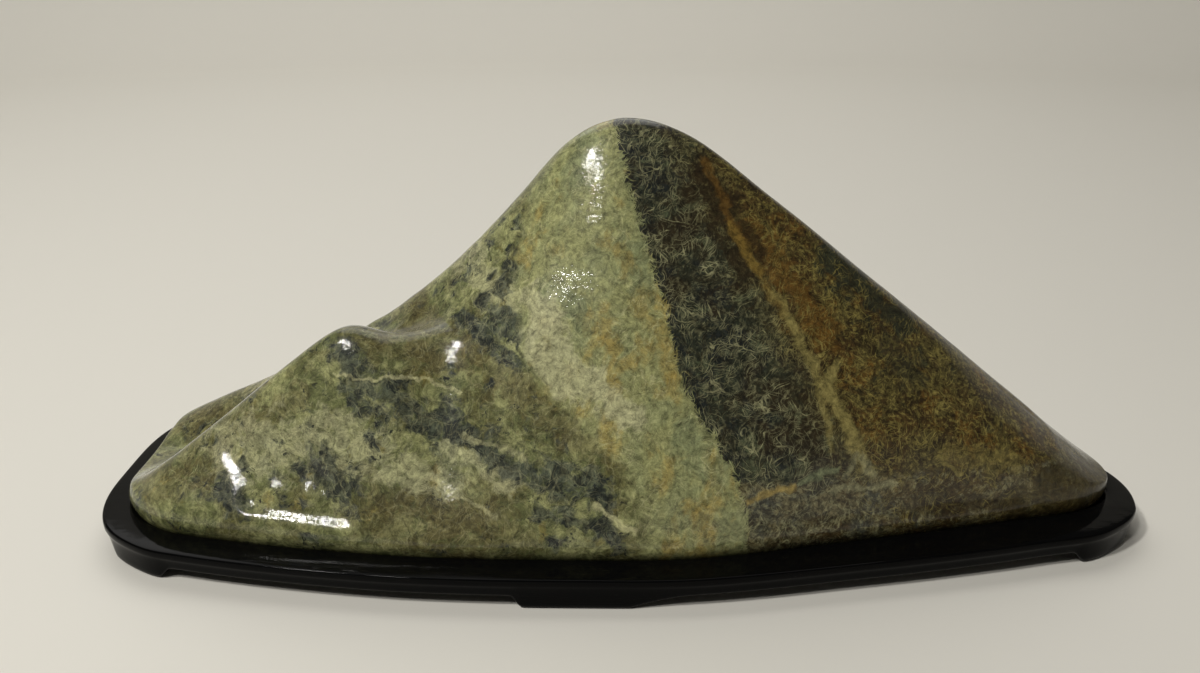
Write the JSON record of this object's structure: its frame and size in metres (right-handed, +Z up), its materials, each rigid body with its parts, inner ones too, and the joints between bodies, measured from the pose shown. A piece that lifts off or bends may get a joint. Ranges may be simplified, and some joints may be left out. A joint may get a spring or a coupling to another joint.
{
  "type": "scholar's rock on a carved stand",
  "caption": "Polished mountain-shaped green stone resting in the recess of a low black lacquered wooden stand with short feet.",
  "frame": {"origin": "on the floor under the middle of the stand's box", "axes": "+X to the right along the length as seen from the front, +Y to the back, +Z up"},
  "size_m": [0.4094, 0.171, 0.1595],
  "materials": {
    "polished_stone": "polished",
    "black_lacquer": "gloss lacquer"
  },
  "bodies": {
    "root": {"stone": "polished_stone", "stand": "black_lacquer"}
  },
  "joints": []
}
